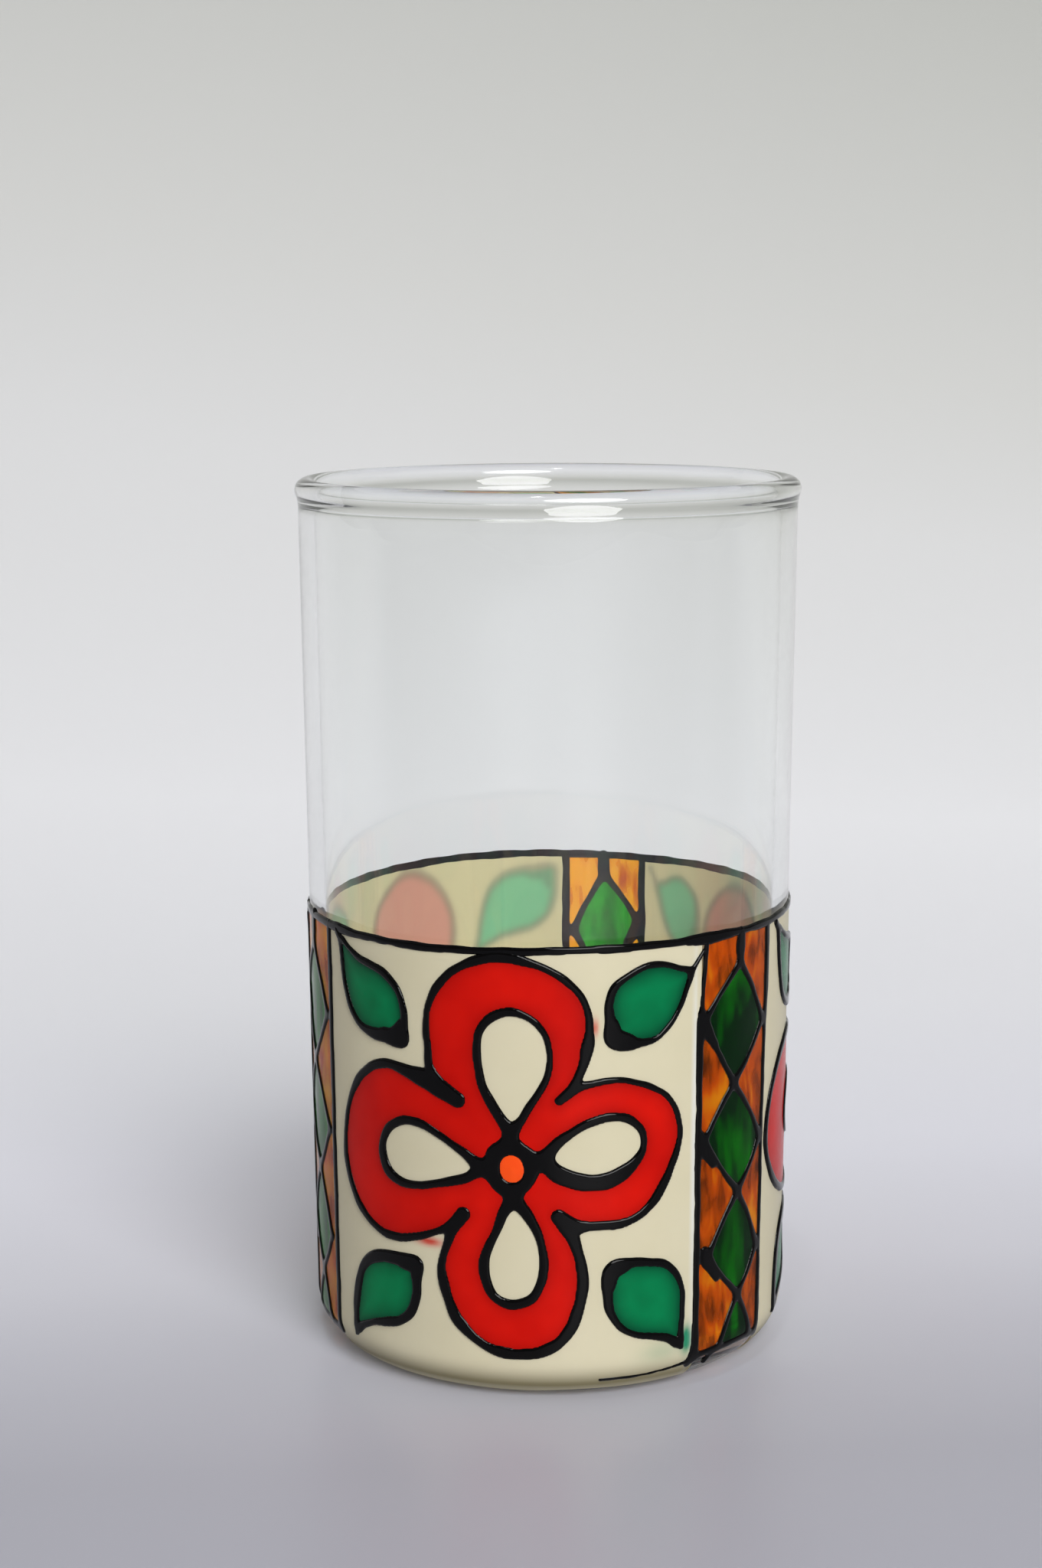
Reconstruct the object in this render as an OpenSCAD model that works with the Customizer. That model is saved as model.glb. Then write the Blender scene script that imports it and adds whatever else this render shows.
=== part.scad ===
// Straight tea tumbler with a painted lower half: one piece of glass that carries thin paint films.
// Millimetres, Z up. The origin is the middle of the foot, and the front flower faces -Y.
// Places round the glass are angles from -Y, counted to the right as seen from the front.

/* [Glass] */
// Height of the glass
glass_h = 120; // [105:1:140]
// Outer diameter of the wall at the top
rim_d = 68; // [64:0.5:80]
// Outer diameter of the wall, run down to the foot
base_d = 65; // [62:0.5:76]
// Thickness of the wall
wall_t = 2.2; // [1.6:0.1:3]
// Thickness of the base at the foot
base_t = 3.2; // [2.6:0.1:6]
// Outer radius of the bottom corner
corner_r = 6.4; // [4.4:0.2:8]
// Inner radius of the bottom corner
inner_corner_r = 4.4; // [2:0.2:7]
// Thickness of the rounded rim
rim_bead_d = 3.2; // [2.6:0.1:4.4]
// Distance that the rim stands out past the wall
rim_proud = 0.4; // [0:0.1:0.8]
// Diameter of the hollow under the base
hollow_d = 46; // [30:1:48]
// Depth of the hollow under the base
hollow_h = 1; // [0.4:0.1:1.6]

/* [Paint] */
// Height of the painted part
paint_top = 61.9; // [54:0.5:80]
// Length of the flat drawing, which goes once round the glass
sheet_l = 206.8; // [205:0.2:225]
// Width of the line that runs round the top of the paint
border_w = 1.1; // [0.6:0.1:2]
// Height at which the cream ground starts
ground_bottom = 3.4; // [2.4:0.1:4]
// Thickness of the cream ground
ground_t = 0.1; // [0.05:0.01:0.2]
// Thickness of a colour that is flooded in between lines
fill_t = 0.2; // [0.1:0.01:0.3]
// Height of the raised black lines
line_t = 0.45; // [0.3:0.05:0.8]

/* [Bands] */
// Places of the bands round the glass: right, back and left
band_angles = [49.5, 164.5, 286]; // [0:0.5:360]
// Widths of the bands: right, back and left
band_widths = [15.2, 13.4, 14.6]; // [11:0.2:18]
// Width of the lines at the sides of a band
side_line_w = 1.2; // [0.6:0.1:2]
// Width of the lines between the panes of a band
lattice_line_w = 0.9; // [0.5:0.1:1.6]
// Height of the line that closes a band at the bottom
band_bottom = 3.7; // [3:0.1:6]
// Height of a diamond
diamond_h = 15.4; // [10:0.2:20]
// Drop from the border line to the first diamond
stem_h = 3.9; // [2:0.1:6]
// Width of the stroke above the first diamond
stem_w = 1.6; // [1:0.1:3]
// Length of the thin stroke that runs on from the right band under the front panel
run_on_len = 15; // [5:0.5:25]
// Width of the thin stroke
run_on_w = 0.4; // [0.3:0.1:0.8]

/* [Flowers] */
// Places of the flowers round the glass: front, right and left
flower_angles = [-8.7, 117, 221]; // [-20:0.1:240]
// Height of the middle of a flower
flower_z = 32.2; // [28:0.2:38]
// Reach of the petals of the front flower: up, left, down and right
front_reaches = [29, 28.3, 25.9, 23.5]; // [18:0.1:30]
// Reach of the petals of the right flower
right_reaches = [28.2, 30.5, 25.5, 19.6]; // [18:0.1:31]
// Reach of the petals of the left flower
left_reaches = [28.6, 24.5, 25.5, 27]; // [18:0.1:30]
// Widths of the petals of the front flower: up, left, down and right
front_widths = [23.3, 24.6, 20.7, 20.1]; // [15:0.1:26]
// Widths of the petals of the right flower
right_widths = [17, 23.4, 20, 19.4]; // [15:0.1:26]
// Widths of the petals of the left flower
left_widths = [18.6, 23, 20, 20.4]; // [15:0.1:26]
// Width of the red past the end of an eye: up, left, down and right
red_widths = [6.3, 7, 6, 4]; // [3:0.1:8]
// Widths of the cream eyes: up, left, down and right
eye_widths = [8.7, 7.4, 6.8, 7.2]; // [4:0.1:9]
// Distance from the middle of a flower to the tips of its eyes
eye_start = 5.5; // [4.6:0.1:7]
// Width of the lines of a flower
flower_line_w = 1.1; // [0.6:0.1:1.6]
// Width of the strokes from the middle of a flower to its eyes
spoke_w = 2; // [1.2:0.1:2.6]
// Width of the strokes between two petals
notch_w = 1.9; // [1.2:0.1:2.6]
// Diameter of the orange middle
middle_d = 3.8; // [2:0.1:5]
// Width of the black ring round the orange middle
middle_ring_w = 1.8; // [0.8:0.1:2.4]

/* [Leaves] */
// Tip of the upper left leaf, from the corner of its panel
upper_left_tip = [1.7, 1.1]; // [0.6:0.1:6]
// Foot of the upper left leaf, from the corner of its panel
upper_left_foot = [14.8, 13]; // [9:0.1:18]
// Tip of the upper right leaf, from the corner of its panel
upper_right_tip = [1.6, 3.2]; // [0.6:0.1:6]
// Foot of the upper right leaf, from the corner of its panel
upper_right_foot = [13.2, 12.4]; // [9:0.1:18]
// Tip of the lower left leaf, from the corner of its panel
lower_left_tip = [4.4, 3.6]; // [0.6:0.1:6]
// Foot of the lower left leaf, from the corner of its panel
lower_left_foot = [16.6, 15]; // [9:0.1:18]
// Tip of the lower right leaf, from the corner of its panel
lower_right_tip = [1.6, 3.6]; // [0.6:0.1:6]
// Foot of the lower right leaf, from the corner of its panel
lower_right_foot = [12.8, 16]; // [9:0.1:18]
// Bulge of the upper side of a leaf: upper left, upper right, lower left, lower right
upper_bulges = [5, 6.4, 6.2, 6]; // [3:0.1:7]
// Bulge of the lower side of a leaf: upper left, upper right, lower left, lower right
lower_bulges = [5.8, 4, 4.4, 5.2]; // [3:0.1:7]
// Width of the lines of a leaf
leaf_line_w = 1; // [0.6:0.1:1.4]
// Diameter of the drop of black at the foot of a leaf
leaf_drop_d = 2.2; // [1.4:0.1:3]
// Length of the stroke past the tip of a leaf: upper left, upper right, lower left, lower right
tail_lengths = [0.8, 3, 2.4, 0.8]; // [0.4:0.1:4]
// Width of the stroke past the tip of a leaf
tail_w = 0.8; // [0.5:0.1:1.2]

/* [Hidden] */

// Index of each panel and band in the lists above
front = 0;
right = 1;
left = 2;
band_right = 0;
band_back = 1;
band_left = 2;

// Steps round the end of a petal, an eye, a leaf's side and the end of a stroke
petal_steps = 24;
eye_steps = 40;
leaf_steps = 16;
end_steps = 6;
// Directions of the petals and of their eyes: up, left, down and right
petal_turns = [92, 178, 269, 368];
eye_turns = [90, 179, 272, 375];
// Part of an eye's curve, in degrees, that its line leaves out at the tip
blunt_turn = 24;
// Length of a petal's round part against its width
petal_length_shares = [0.95, 0.87, 1.13, 0.95];
// Where the strokes between petals start and end, against the corner where the petals meet
notch_start_share = 0.97;
notch_end_share = 0.62;
// Widest point of the curve that draws an eye
eye_peak_share = 0.77;
// Thickness of the thin stroke against the other lines
run_on_share = 0.5;
// Distance that a cutting shape runs past what it cuts
overrun = 1;

slope = (rim_d - base_d) / 2 / glass_h;
tilt = atan(slope);
corner_x = base_d / 2 + slope * corner_r - corner_r / cos(tilt);
inner_corner_z = base_t + inner_corner_r;
inner_corner_x = wall_r(inner_corner_z) - wall_t - inner_corner_r / cos(tilt);
rim_z = glass_h - rim_bead_d / 2;
rim_x = wall_r(rim_z) + rim_proud - rim_bead_d / 2;
hollow_r = (hollow_d * hollow_d / 4 + hollow_h * hollow_h) / (2 * hollow_h);
border_bottom = paint_top - border_w;
pane_bottom = band_bottom + lattice_line_w;
reach_all = max(rim_d, base_d);
reaches = [front_reaches, right_reaches, left_reaches];
widths = [front_widths, right_widths, left_widths];
panel_starts = [
    band_edge(band_left, 1) - 360,
    band_edge(band_right, 1),
    band_edge(band_back, 1)
];
panel_ends = [
    band_edge(band_right, -1),
    band_edge(band_back, -1),
    band_edge(band_left, -1)
];

function wall_r(z) = base_d / 2 + slope * z;
function arc_angle(length) = 360 * length / sheet_l;
function band_edge(b, side) = band_angles[b] + side * arc_angle(band_widths[b] / 2);
function turned(q, a) = [q.x * cos(a) - q.y * sin(a), q.x * sin(a) + q.y * cos(a)];
function along(length, a) = [length * cos(a), length * sin(a)];

// A point of the flat drawing on the glass, seen straight on
function seen(q) = [wall_r(q.y) * sin(arc_angle(q.x)), q.y];
function seen_all(points, z) = [for (q = points) seen(q + [0, z])];

// Everything inside the outside of the glass, grown by a film's thickness
module grown_glass(grow) {
    translate([corner_x, corner_r])
        circle(r = corner_r + grow, $fn = 96);
    polygon([
        [0, 0],
        [corner_x, 0],
        [corner_x + (corner_r + grow) * cos(tilt), corner_r - (corner_r + grow) * sin(tilt)],
        [wall_r(rim_z) + grow / cos(tilt), rim_z],
        [0, rim_z]
    ]);
}

// A film round the glass: from one height off the glass to another, between two angles
module film(under, over, bottom, top, start, end) {
    rotate([0, 0, start - 90])
        rotate_extrude(angle = end - start, $fn = 128)
            intersection() {
                difference() {
                    grown_glass(over);
                    grown_glass(under);
                }
                translate([0, bottom])
                    square([reach_all, top - bottom]);
            }
}

module panel_film(p, under, over) {
    film(under, over, ground_bottom, border_bottom, panel_starts[p], panel_ends[p]);
}

module pane_film(b, under, over) {
    inset = arc_angle(side_line_w);
    film(under, over, pane_bottom, border_bottom, band_edge(b, -1) + inset, band_edge(b, 1) - inset);
}

// A drawing on the plane that faces the given angle, pushed through the glass
module pushed(angle) {
    rotate([90, 0, angle])
        linear_extrude(height = reach_all)
            children();
}

// A stroke with round ends, drawn from the middle of a flower
module stroke(from, to, width) {
    way = to - from;
    a = atan2(way.y, way.x);
    polygon(seen_all([
        for (i = [0:end_steps]) from + along(width / 2, a + 90 + 180 * i / end_steps),
        for (i = [0:end_steps]) to + along(width / 2, a - 90 + 180 * i / end_steps)
    ], flower_z));
}

module round_spot(middle, d, steps) {
    polygon(seen_all([for (i = [1:steps]) middle + along(d / 2, 360 * i / steps)], flower_z));
}

// The glass

module glass_body() {
    color("lightcyan", 0.35)
        rotate_extrude($fn = 128) {
            difference() {
                grown_glass(0);
                glass_inside();
                translate([0, hollow_h - hollow_r])
                    circle(r = hollow_r, $fn = 256);
            }
            translate([rim_x, rim_z])
                circle(d = rim_bead_d, $fn = 48);
        }
}

module glass_inside() {
    translate([inner_corner_x, inner_corner_z])
        circle(r = inner_corner_r, $fn = 96);
    polygon([
        [0, base_t],
        [inner_corner_x, base_t],
        [
            inner_corner_x + inner_corner_r * cos(tilt),
            inner_corner_z - inner_corner_r * sin(tilt)
        ],
        [wall_r(glass_h) - wall_t, glass_h + overrun],
        [0, glass_h + overrun]
    ]);
}

module border_line() {
    border_z = paint_top - border_w / 2;
    color("black")
        rotate_extrude($fn = 128)
            difference() {
                translate([wall_r(border_z), border_z])
                    circle(d = border_w, $fn = 48);
                grown_glass(0);
            }
}

// The panels: a cream ground, and a flower and four leaves on it

module ground(p) {
    color("cornsilk")
        panel_film(p, 0, ground_t);
}

module drawn(p) {
    pushed(flower_angles[p])
        children();
}

module on_ground(p, thickness) {
    intersection() {
        panel_film(p, ground_t, ground_t + thickness);
        drawn(p)
            children();
    }
}

function petal_half_l(p, i) = petal_length_shares[i] * widths[p][i] / 2;
function petal_place(p, i) = reaches[p][i] - petal_half_l(p, i);
function next(i) = (i + 1) % len(petal_turns);
function previous(i) = (i + len(petal_turns) - 1) % len(petal_turns);

// The corner where the sides of a petal and of the next one meet
function notch(p, i, inset) =
    let (
        between = petal_turns[next(i)] - petal_turns[i],
        half_w = widths[p][i] / 2 - inset,
        next_half_w = widths[p][next(i)] / 2 - inset
    )
    turned([(next_half_w + half_w * cos(between)) / sin(between), half_w], petal_turns[i]);

// A petal with a round end, from the middle of the flower
function petal_points(p, i, inset) = [
    [0, 0],
    notch(p, previous(i), inset),
    for (k = [0:petal_steps])
        let (t = 180 * k / petal_steps - 90)
        turned([
            petal_place(p, i) + (petal_half_l(p, i) - inset) * cos(t),
            (widths[p][i] / 2 - inset) * sin(t)
        ], petal_turns[i]),
    notch(p, i, inset)
];

// A drop-shaped eye whose tip faces the middle of the flower, blunt where it is grown into a line
function eye_points(p, i, grow) =
    let (
        tip = eye_start - 2 * grow,
        end = reaches[p][i] - red_widths[i] - 2 * flower_line_w + grow,
        half_w = eye_widths[i] / 2 + grow,
        skip = grow > 0 ? blunt_turn : 0
    )
    [
        for (k = [1:eye_steps])
            let (t = skip + (360 - 2 * skip) * (2 * k - 1) / (2 * eye_steps))
            turned([
                tip + (end - tip) * (1 - cos(t)) / 2,
                -half_w / eye_peak_share * sin(t) * sin(t / 2)
            ], eye_turns[i])
    ];

module flower_shape(p, inset) {
    for (i = [0:len(petal_turns) - 1])
        polygon(seen_all(petal_points(p, i, inset), flower_z));
}

module notch_strokes(p) {
    for (i = [0:len(petal_turns) - 1])
        stroke(notch_start_share * notch(p, i, 0), notch_end_share * notch(p, i, 0), notch_w);
}

module eyes(p, grow) {
    for (i = [0:len(petal_turns) - 1])
        polygon(seen_all(eye_points(p, i, grow), flower_z));
}

module middle_spot(d) {
    round_spot([0, 0], d, eye_steps);
}

// Everything black round the eyes and the middle, with what it goes round
module eye_blacks(p) {
    eyes(p, flower_line_w);
    middle_spot(middle_d + 2 * middle_ring_w);
    for (a = eye_turns)
        stroke([0, 0], along(eye_start, a), spoke_w);
}

module flower_line(p) {
    color("black")
        on_ground(p, line_t) {
            difference() {
                flower_shape(p, 0);
                flower_shape(p, flower_line_w);
            }
            notch_strokes(p);
        }
}

module flower_red(p) {
    color("red")
        on_ground(p, fill_t)
            difference() {
                flower_shape(p, flower_line_w);
                notch_strokes(p);
                eye_blacks(p);
            }
}

module eye_lines(p) {
    color("black")
        difference() {
            on_ground(p, line_t)
                eye_blacks(p);
            drawn(p) {
                eyes(p, 0);
                middle_spot(middle_d);
            }
        }
}

module flower_middle(p) {
    color("orangered")
        on_ground(p, fill_t)
            middle_spot(middle_d);
}

// Leaves, counted upper left, upper right, lower left, lower right

leaf_tips = [upper_left_tip, upper_right_tip, lower_left_tip, lower_right_tip];
leaf_feet = [upper_left_foot, upper_right_foot, lower_left_foot, lower_right_foot];

function panel_edge(p, is_right) =
    ((is_right ? panel_ends[p] : panel_starts[p]) - flower_angles[p]) * sheet_l / 360;
function from_corner(p, i, q) =
    let (is_right = i % 2 == 1, is_low = i > 1)
    [
        panel_edge(p, is_right) + (is_right ? -q.x : q.x),
        (is_low ? ground_bottom + q.y : border_bottom - q.y) - flower_z
    ];

// A leaf between two arcs through its tip and its foot
function arc_r(half, bulge) = (half * half + bulge * bulge) / (2 * bulge);
function leaf_points(p, i, inset) =
    let (
        tip = from_corner(p, i, leaf_tips[i]),
        foot = from_corner(p, i, leaf_feet[i]),
        to_right = tip.x < foot.x ? foot - tip : tip - foot,
        half = norm(to_right) / 2,
        upper_place = arc_r(half, upper_bulges[i]) - upper_bulges[i],
        lower_place = arc_r(half, lower_bulges[i]) - lower_bulges[i],
        upper_r = arc_r(half, upper_bulges[i]) - inset,
        lower_r = arc_r(half, lower_bulges[i]) - inset,
        end_y = (pow(upper_r, 2) - pow(lower_r, 2) - pow(upper_place, 2) + pow(lower_place, 2))
            / (2 * (upper_place + lower_place)),
        end_x = sqrt(pow(upper_r, 2) - pow(end_y + upper_place, 2)),
        upper_turn = atan2(end_y + upper_place, end_x),
        lower_turn = atan2(lower_place - end_y, end_x)
    )
    [
        for (q = concat(
            [
                for (k = [0:leaf_steps])
                    [0, -upper_place]
                    + along(upper_r, upper_turn + (180 - 2 * upper_turn) * k / leaf_steps)
            ],
            [
                for (k = [1:leaf_steps - 1])
                    [0, lower_place]
                    - along(lower_r, lower_turn + (180 - 2 * lower_turn) * k / leaf_steps)
            ]
        ))
            (tip + foot) / 2 + turned(q, atan2(to_right.y, to_right.x))
    ];

module leaf_shape(p, i, inset) {
    polygon(seen_all(leaf_points(p, i, inset), flower_z));
}

module leaf_drop(p, i) {
    round_spot(from_corner(p, i, leaf_feet[i]), leaf_drop_d, eye_steps);
}

module leaf_tail(p, i) {
    tip = from_corner(p, i, leaf_tips[i]);
    way = tip - from_corner(p, i, leaf_feet[i]);
    stroke(tip - tail_w * way / norm(way), tip + tail_lengths[i] * way / norm(way), tail_w);
}

module leaf_lines(p) {
    color("black")
        difference() {
            on_ground(p, line_t)
                for (i = [0:len(leaf_tips) - 1]) {
                    leaf_shape(p, i, 0);
                    leaf_drop(p, i);
                    leaf_tail(p, i);
                }
            drawn(p)
                leaf_greens(p);
        }
}

module leaves(p) {
    color("seagreen")
        on_ground(p, fill_t)
            leaf_greens(p);
}

module leaf_greens(p) {
    for (i = [0:len(leaf_tips) - 1])
        difference() {
            leaf_shape(p, i, leaf_line_w);
            leaf_drop(p, i);
        }
}

// The bands: black lines on the bare glass, with green and amber panes between them

first_tip = border_bottom - stem_h;
stem_z = first_tip + stem_h / 2;
diamond_count = ceil((first_tip - pane_bottom) / diamond_h);

// A diamond of a band, grown past the middle of its lines
module diamonds(b, grow) {
    half_w = band_widths[b] / 2 - side_line_w;
    half_h = diamond_h / 2;
    edge = norm([half_w, half_h]);
    w = half_w + grow * edge / half_h;
    h = half_h + grow * edge / half_w;
    for (i = [0:diamond_count - 1])
        polygon(seen_all([[0, h], [-w, 0], [0, -h], [w, 0]], first_tip - diamond_h * i - half_h));
}

module stem() {
    half_w = stem_w / 2;
    polygon(seen_all([[-half_w, -stem_h], [half_w, -stem_h], [half_w, stem_h], [-half_w, stem_h]], stem_z));
}

module lattice(b) {
    difference() {
        union() {
            diamonds(b, lattice_line_w / 2);
            stem();
        }
        diamonds(b, -lattice_line_w / 2);
    }
}

module band_lines(b) {
    first = band_edge(b, -1);
    color("black") {
        difference() {
            film(0, line_t, band_bottom, border_bottom, first, band_edge(b, 1));
            difference() {
                pane_film(b, -overrun, line_t + overrun);
                pushed(band_angles[b])
                    lattice(b);
            }
        }
        if (b == band_right)
            run_on(first - arc_angle(run_on_len), first + arc_angle(side_line_w / 2));
    }
}

// A thin stroke on the lower edge of the front ground, level with the line that closes the band
module run_on(start, end) {
    run_on_z = band_bottom + (lattice_line_w - run_on_w) / 2;
    film(ground_t, ground_t + run_on_share * line_t, run_on_z, run_on_z + run_on_w, start, end);
}

module band_diamonds(b) {
    color("green")
        intersection() {
            pane_film(b, 0, fill_t);
            pushed(band_angles[b])
                diamonds(b, -lattice_line_w / 2);
        }
}

module band_amber(b) {
    color("darkorange")
        difference() {
            pane_film(b, 0, fill_t);
            pushed(band_angles[b]) {
                diamonds(b, lattice_line_w / 2);
                stem();
            }
        }
}

glass_body();
border_line();
ground(front);  // ground_front
ground(right);  // ground_right
ground(left);  // ground_left
flower_line(front);  // flower_line_front
flower_line(right);  // flower_line_right
flower_line(left);  // flower_line_left
flower_red(front);  // flower_red_front
flower_red(right);  // flower_red_right
flower_red(left);  // flower_red_left
eye_lines(front);  // eye_lines_front
eye_lines(right);  // eye_lines_right
eye_lines(left);  // eye_lines_left
flower_middle(front);  // flower_middle_front
flower_middle(right);  // flower_middle_right
flower_middle(left);  // flower_middle_left
leaf_lines(front);  // leaf_lines_front
leaf_lines(right);  // leaf_lines_right
leaf_lines(left);  // leaf_lines_left
leaves(front);  // leaves_front
leaves(right);  // leaves_right
leaves(left);  // leaves_left
band_lines(band_right);  // band_lines_right
band_lines(band_back);  // band_lines_back
band_lines(band_left);  // band_lines_left
band_diamonds(band_right);  // band_diamonds_right
band_diamonds(band_back);  // band_diamonds_back
band_diamonds(band_left);  // band_diamonds_left
band_amber(band_right);  // band_amber_right
band_amber(band_back);  // band_amber_back
band_amber(band_left);  // band_amber_left
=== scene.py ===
import math

import bmesh
import bpy
import numpy as np
from mathutils import Matrix, Vector


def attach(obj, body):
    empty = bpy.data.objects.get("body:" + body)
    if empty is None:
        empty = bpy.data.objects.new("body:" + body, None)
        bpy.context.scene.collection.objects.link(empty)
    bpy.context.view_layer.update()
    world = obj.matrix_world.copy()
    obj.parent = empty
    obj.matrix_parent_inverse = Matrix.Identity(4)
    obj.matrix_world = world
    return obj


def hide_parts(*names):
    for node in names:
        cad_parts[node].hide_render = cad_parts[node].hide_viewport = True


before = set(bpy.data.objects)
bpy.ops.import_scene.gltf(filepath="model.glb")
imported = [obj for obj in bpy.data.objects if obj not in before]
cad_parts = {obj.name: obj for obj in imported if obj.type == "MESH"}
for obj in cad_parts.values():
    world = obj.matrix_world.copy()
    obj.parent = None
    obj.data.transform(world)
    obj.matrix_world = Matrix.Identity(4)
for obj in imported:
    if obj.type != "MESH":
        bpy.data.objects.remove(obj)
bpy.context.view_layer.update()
scene = bpy.context.scene
scene.view_settings.view_transform = "Standard"

# View. The photograph was taken from in front and from a little above the rim, looking down about ten degrees.
# The lens is the one that gives the rim, the paint's top line and the foot the curves that they have there.
eye_place = (0, -0.3799, 0.14165)
swung, tipped_down, rolled = 0.574, 9.585, -0.240  # degrees
camera = bpy.data.objects.new("camera", bpy.data.cameras.new("camera"))
camera.data.sensor_width, camera.data.lens, camera.data.clip_start = 36, 63.86, 0.01
camera.matrix_world = (
    Matrix.Translation(eye_place)
    @ Matrix.Rotation(math.radians(swung), 4, "Z")
    @ Matrix.Rotation(math.radians(90 - tipped_down), 4, "X")
    @ Matrix.Rotation(math.radians(rolled), 4, "Z")
)
scene.collection.objects.link(camera)
scene.camera = camera

# Glass. A straight tumbler of clear heat-resistant glass, in one piece: a wall that widens a little towards the top,
# a rim melted to a round bead, and a base with a rounded corner and a shallow hollow under it.
mm = 0.001
glass_h, foot_r, slope = 120, 32.5, 1.5 / 120
wall_t, base_t, corner_r, inner_corner_r = 2.2, 3.2, 6.4, 4.4
bead_r, bead_proud = 1.6, 0.4
neck, inner_neck = 115.2, 114.4  # where the wall starts to swell into the bead, outside and inside
hollow_half, hollow_h = 23, 1
foot_ring = [(23.4, 0), (24.8, 0)]
tilt = math.atan(slope)
corner_x = foot_r + slope * corner_r - corner_r / math.cos(tilt)


def wall_r(z):
    """The radius of the wall's outside at a height."""
    return foot_r + slope * z


def arc(x, z, r, start, end, steps):
    """Points on a circle round (x, z), from one angle to another in degrees."""
    return [(x + r * math.cos(a), z + r * math.sin(a)) for a in np.radians(np.linspace(start, end, steps))]


def bend(p, p_out, q_in, q, steps):
    """Points on a smooth bend from p to q that leaves towards p_out and comes in from q_in."""
    t = np.linspace(0, 1, steps)[:, None]
    p, p_out, q_in, q = np.array(p), np.array(p_out), np.array(q_in), np.array(q)
    bent = (1 - t) ** 3 * p + 3 * t * (1 - t) ** 2 * p_out + 3 * t**2 * (1 - t) * q_in + t**3 * q
    return [tuple(x) for x in bent]


def glass_profile():
    """The outline of the glass on one side of its axis, from the middle of the hollow over the rim to the inside."""
    hollow_r = (hollow_half**2 + hollow_h**2) / (2 * hollow_h)
    bead_z = glass_h - bead_r
    bead_x = wall_r(bead_z) + bead_proud - bead_r
    inner_z = base_t + inner_corner_r
    inner_x = wall_r(inner_z) - wall_t - inner_corner_r / math.cos(tilt)
    lean = math.degrees(tilt)
    edge_of_hollow = 90 - math.degrees(math.asin(hollow_half / hollow_r))
    bead_round = arc(bead_x, bead_z, bead_r, -18, 205, 34)
    (out_x, out_z), (in_x, in_z) = bead_round[0], bead_round[-1]
    inner_r = wall_r(inner_neck) - wall_t
    swell = bend((wall_r(neck), neck), (wall_r(neck + 1.3), neck + 1.3), (out_x - 0.33, out_z - 0.9), (out_x, out_z), 9)
    ease = bend((in_x, in_z), (in_x + 0.40, in_z - 0.9), (inner_r, inner_neck + 1.4), (inner_r, inner_neck), 9)
    return (
        arc(0, hollow_h - hollow_r, hollow_r, 90, edge_of_hollow, 14)
        + foot_ring
        + arc(corner_x, corner_r, corner_r, -90, -lean, 28)
        + [(wall_r(z), z) for z in np.linspace(9, neck - 2, 34)]
        + swell[:-1]
        + bead_round
        + ease[1:]
        + [(wall_r(z) - wall_t, z) for z in np.linspace(inner_neck - 2, 10, 34)]
        + arc(inner_x, inner_z, inner_corner_r, -lean, -90, 22)
        + [(r, base_t) for r in np.linspace(inner_x, 0, 12)[1:]]
    )


def linear(code):
    """An sRGB hex colour as linear red, green, blue and alpha."""
    parts = [int(code[i : i + 2], 16) / 255 for i in (0, 2, 4)]
    return [c / 12.92 if c <= 0.04045 else ((c + 0.055) / 1.055) ** 2.4 for c in parts] + [1]


def add(tree, kind, inputs=(), out=0, **settings):
    """Adds a node to a tree and gives one of its outputs, by its name or number, or the node itself where out is None.
    An input is given by its name or number, as a value or as the output that feeds it. A kind that isn't named in full
    is one of the shader's, which a tree that makes a shape can use too."""
    node = tree.nodes.new(kind if "Node" in kind else "ShaderNode" + kind)
    for name, value in settings.items():
        setattr(node, name, value)
    for name, value in dict(inputs).items():
        if isinstance(value, bpy.types.NodeSocket):
            tree.links.new(value, node.inputs[name])
        else:
            node.inputs[name].default_value = value
    return node if out is None else node.outputs[out]


def new_material(name):
    """An empty material and its node tree."""
    material = bpy.data.materials.new(name)
    material.use_nodes = True
    material.node_tree.nodes.clear()
    return material, material.node_tree


# Borosilicate glass, drawn as tube and fire polished: clear with a breath of grey green, and a surface that is smooth
# but not quite true, so that reflections waver along the wall. The waves are 14 mm wide and 90 mm long up the wall.
wave_w, wave_l = 14 * mm, 90 * mm
clear_glass, tree = new_material("borosilicate glass, fire polished")
place = add(tree, "TexCoord", out="Object")
drawn_up = add(tree, "Mapping", {"Vector": place, "Scale": (1 / wave_w, 1 / wave_w, 1 / wave_l)})
waves = add(tree, "TexNoise", {"Vector": drawn_up, "Scale": 1.0, "Detail": 1.0}, out="Fac")
bump = add(tree, "Bump", {"Height": waves, "Strength": 0.35, "Distance": 0.06 * mm})
glass = add(tree, "BsdfPrincipled", {
    "Base Color": linear("FEFFFE"), "Roughness": 0.0, "IOR": 1.474, "Transmission Weight": 1.0, "Normal": bump})
# What lies behind the glass gets its light through it: light on its way there goes straight on, a little weaker.
rays = add(tree, "LightPath", out=None).outputs
open_air = add(tree, "BsdfTransparent", {"Color": linear("FCFDFC")})
lit = add(tree, "MixShader", {0: rays["Is Shadow Ray"], 1: glass, 2: open_air})
lit = add(tree, "MixShader", {0: rays["Is Diffuse Ray"], 1: lit, 2: open_air})
# Light that has been thrown to and fro in the wall leaves it in the end, weak and grey green, so that the rim
# isn't black from above.
trapped = add(tree, "Math", {0: rays["Glossy Depth"], 1: 3.5}, operation="GREATER_THAN")
spent = add(tree, "BsdfTransparent", {"Color": linear("6A6E62")})
lit = add(tree, "MixShader", {0: trapped, 1: lit, 2: spent})
add(tree, "OutputMaterial", {"Surface": lit}, out=None)


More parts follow.
